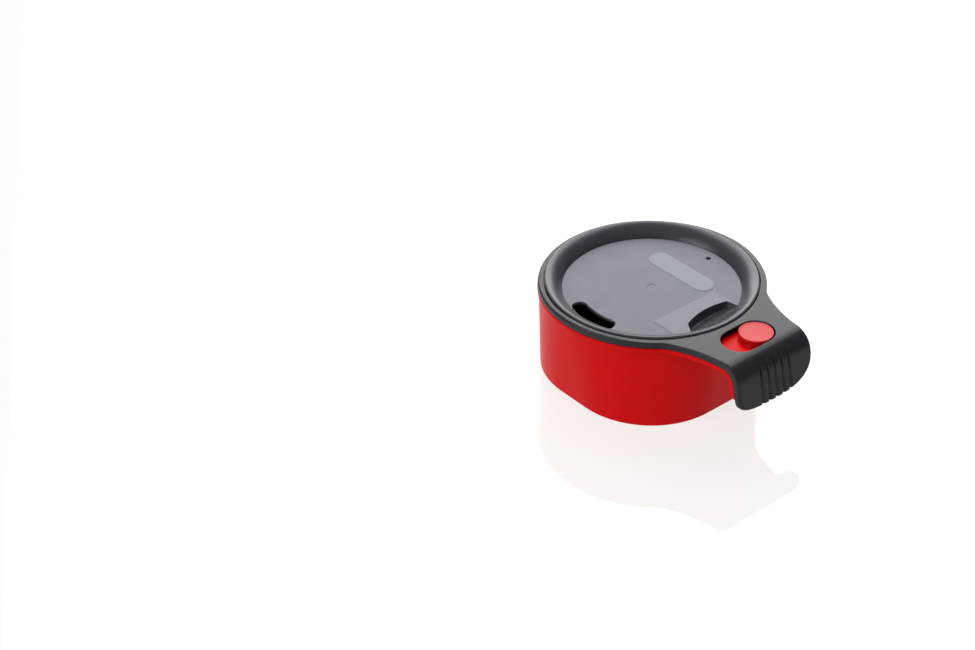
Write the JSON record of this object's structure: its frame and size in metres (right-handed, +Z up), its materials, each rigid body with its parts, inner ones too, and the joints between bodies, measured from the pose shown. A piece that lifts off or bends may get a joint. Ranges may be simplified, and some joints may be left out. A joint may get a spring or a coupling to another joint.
{
  "type": "egg cooker",
  "caption": "Small nesting egg pan: soft-square outer pan, lift-out dish with fluted grip, sunk vented lid with sip slot and finger scoop, sliding lock button.",
  "frame": {"origin": "on the table under the middle of the pan, where the round rim's axis meets the flat base", "axes": "+Z up, +X from the middle of the pan towards the handle, +Y towards the side of the vent hole"},
  "size_m": [0.1475, 0.1158, 0.0527],
  "materials": {
    "red_plastic": "satin gloss",
    "grey_plastic": "satin",
    "lid_plastic": "satin",
    "seal_rubber": "matt",
    "button_plastic": "satin gloss",
    "clip_plastic": "satin"
  },
  "bodies": {
    "pan": {"outer_pan": "red_plastic"},
    "button": {"lock_button": "button_plastic", "button_clip": "clip_plastic"},
    "dish": {"inner_dish": "grey_plastic"},
    "seal": {"lid_seal": "seal_rubber"},
    "lid": {"vented_lid": "lid_plastic"}
  },
  "joints": [
    {"name": "lock_slide", "type": "slide", "parent": "pan", "child": "button", "axis": [0, -1, 0], "range_m": [0, 0.0111]},
    {"name": "dish_lift", "type": "slide", "parent": "pan", "child": "dish", "axis": [0, 0, 1], "range_m": [0, 0.06]},
    {"name": "lid_lift", "type": "slide", "parent": "dish", "child": "seal", "axis": [0, 0, 1], "range_m": [0, 0.03]},
    {"name": "lid_turn", "type": "hinge", "parent": "seal", "child": "lid", "pos_m": [0, 0, 0.0461], "axis": [0, 0, 1], "continuous": true}
  ]
}
